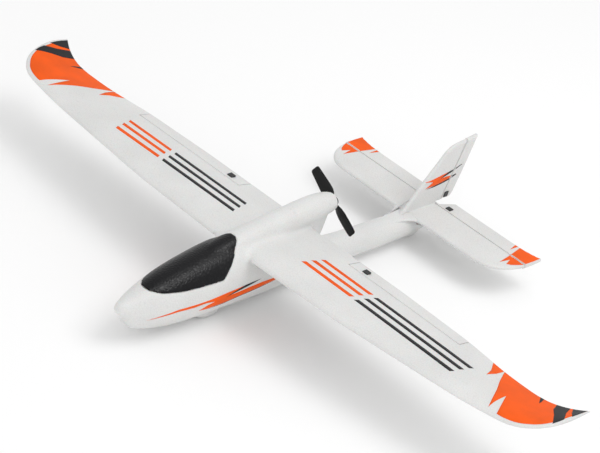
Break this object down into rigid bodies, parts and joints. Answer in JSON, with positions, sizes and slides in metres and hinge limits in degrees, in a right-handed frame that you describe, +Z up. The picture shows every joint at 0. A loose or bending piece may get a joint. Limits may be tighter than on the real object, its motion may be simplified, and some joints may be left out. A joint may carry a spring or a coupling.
{
  "type": "rc foam airplane",
  "caption": "Small moulded-foam pusher airplane with a pod motor, lift-off canopy, hinged control surfaces worked by servos and wires, and low skids.",
  "frame": {"origin": "on the ground plane under the middle of the airplane's bounding box", "axes": "+X to the port (left) wing tip, -Y forward out of the nose, +Z up"},
  "size_m": [0.6, 0.4388, 0.0945],
  "materials": {
    "foam_white": "fine beaded EPO foam, matt",
    "foam_black": "black beaded foam with a low sheen",
    "magnet_nickel": "nickel plated",
    "carbon": "carbon fibre tube, satin",
    "plywood": "bare plywood",
    "screw_steel": "bright steel",
    "motor_aluminium": "machined",
    "motor_black": "black anodised",
    "prop_black": "moulded plastic, satin",
    "servo_blue": "moulded plastic",
    "arm_white": "moulded nylon",
    "horn_black": "moulded nylon",
    "wire_steel": "bright wire",
    "tube_plastic": "nylon tube",
    "tray_plastic": "moulded plastic",
    "battery_wrap": "shrink wrap",
    "strap_black": "hook and loop tape",
    "board_green": "circuit board",
    "plug_white": "moulded nylon",
    "lead_red": "soft insulation",
    "skid_grey": "moulded plastic"
  },
  "bodies": {
    "airframe": {"fuselage_left": "foam_white", "fuselage_right": "foam_white", "fuselage_magnet": "magnet_nickel", "wing_left": "foam_white", "wing_right": "foam_white", "horizontal_stabilizer": "foam_white", "vertical_fin": "foam_white", "wing_spar": "carbon", "wing_tongue": "plywood", "wing_screws": "screw_steel", "motor_mount": "plywood", "motor_stator": "motor_aluminium", "motor_screws": "screw_steel", "motor_leads": "lead_red", "elevator_servo": "servo_blue", "rudder_servo": "servo_blue", "aileron_left_servo": "servo_blue", "aileron_right_servo": "servo_blue", "elevator_guide_tube": "tube_plastic", "rudder_guide_tube": "tube_plastic", "equipment_tray": "tray_plastic", "battery": "battery_wrap", "battery_strap": "strap_black", "board_tape": "strap_black", "receiver_board": "board_green", "battery_plug": "plug_white", "battery_leads": "lead_red", "servo_block": "plywood", "belly_skid": "skid_grey", "tail_skid": "skid_grey"},
    "propeller_group": {"motor_bell": "motor_black", "motor_shaft": "screw_steel", "propeller": "prop_black", "prop_collar": "motor_aluminium"},
    "canopy": {"canopy_hatch": "foam_black", "hatch_magnet": "magnet_nickel"},
    "elevator_surface": {"elevator": "foam_white", "elevator_horn": "horn_black", "elevator_horn_plate": "horn_black"},
    "elevator_arm": {"elevator_servo_arm": "arm_white"},
    "elevator_rod": {"elevator_pushrod": "wire_steel"},
    "rudder_surface": {"rudder": "foam_white", "rudder_horn": "horn_black", "rudder_horn_plate": "horn_black"},
    "rudder_arm": {"rudder_servo_arm": "arm_white"},
    "rudder_rod": {"rudder_pushrod": "wire_steel"},
    "aileron_left_surface": {"aileron_left": "foam_white", "aileron_left_horn": "horn_black", "aileron_left_horn_plate": "horn_black"},
    "aileron_left_arm": {"aileron_left_servo_arm": "arm_white"},
    "aileron_left_rod": {"aileron_left_pushrod": "wire_steel"},
    "aileron_right_surface": {"aileron_right": "foam_white", "aileron_right_horn": "horn_black", "aileron_right_horn_plate": "horn_black"},
    "aileron_right_arm": {"aileron_right_servo_arm": "arm_white"},
    "aileron_right_rod": {"aileron_right_pushrod": "wire_steel"}
  },
  "joints": [
    {"name": "propeller_spin", "type": "hinge", "parent": "airframe", "child": "propeller_group", "pos_m": [0, 0.03, 0.0705], "axis": [0, 1, 0], "continuous": true},
    {"name": "canopy_lift", "type": "slide", "parent": "airframe", "child": "canopy", "axis": [0, 0, 1], "range_m": [0, 0.04]},
    {"name": "elevator_hinge", "type": "hinge", "parent": "airframe", "child": "elevator_surface", "pos_m": [0, 0.1875, 0.028], "axis": [1, 0, 0], "range_deg": [-20, 20]},
    {"name": "elevator_arm_turn", "type": "hinge", "parent": "airframe", "child": "elevator_arm", "pos_m": [0.0078, -0.06, 0.028], "axis": [1, 0, 0], "range_deg": [-22, 22]},
    {"name": "elevator_rod_slide", "type": "slide", "parent": "airframe", "child": "elevator_rod", "axis": [0, 1, 0], "range_m": [-0.003, 0.003]},
    {"name": "rudder_hinge", "type": "hinge", "parent": "airframe", "child": "rudder_surface", "pos_m": [0, 0.1936, 0.032], "axis": [0, 0.1901, 0.9818], "range_deg": [-20, 20]},
    {"name": "rudder_arm_turn", "type": "hinge", "parent": "airframe", "child": "rudder_arm", "pos_m": [-0.0078, -0.036, 0.028], "axis": [1, 0, 0], "range_deg": [-22, 22]},
    {"name": "rudder_rod_slide", "type": "slide", "parent": "airframe", "child": "rudder_rod", "axis": [0, 1, 0], "range_m": [-0.003, 0.003]},
    {"name": "aileron_left_hinge", "type": "hinge", "parent": "airframe", "child": "aileron_left_surface", "pos_m": [0.1235, -0.018, 0.057], "axis": [1, 0, 0], "range_deg": [-20, 20]},
    {"name": "aileron_left_arm_turn", "type": "hinge", "parent": "airframe", "child": "aileron_left_arm", "pos_m": [0.0778, -0.044, 0.057], "axis": [1, 0, 0], "range_deg": [-22, 22]},
    {"name": "aileron_left_rod_slide", "type": "slide", "parent": "airframe", "child": "aileron_left_rod", "axis": [0, 1, 0], "range_m": [-0.003, 0.003]},
    {"name": "aileron_right_hinge", "type": "hinge", "parent": "airframe", "child": "aileron_right_surface", "pos_m": [-0.1235, -0.018, 0.057], "axis": [1, 0, 0], "range_deg": [-20, 20]},
    {"name": "aileron_right_arm_turn", "type": "hinge", "parent": "airframe", "child": "aileron_right_arm", "pos_m": [-0.0778, -0.044, 0.057], "axis": [1, 0, 0], "range_deg": [-22, 22]},
    {"name": "aileron_right_rod_slide", "type": "slide", "parent": "airframe", "child": "aileron_right_rod", "axis": [0, 1, 0], "range_m": [-0.003, 0.003]}
  ],
  "couplings": [
    {"joint": "elevator_arm_turn", "follows": "elevator_hinge", "ratio": 1},
    {"joint": "elevator_rod_slide", "follows": "elevator_hinge", "m_per_rad": 0.007},
    {"joint": "rudder_arm_turn", "follows": "rudder_hinge", "ratio": -1},
    {"joint": "rudder_rod_slide", "follows": "rudder_hinge", "m_per_rad": -0.007},
    {"joint": "aileron_left_arm_turn", "follows": "aileron_left_hinge", "ratio": 1},
    {"joint": "aileron_left_rod_slide", "follows": "aileron_left_hinge", "m_per_rad": 0.007},
    {"joint": "aileron_right_arm_turn", "follows": "aileron_right_hinge", "ratio": 1},
    {"joint": "aileron_right_rod_slide", "follows": "aileron_right_hinge", "m_per_rad": 0.007}
  ]
}
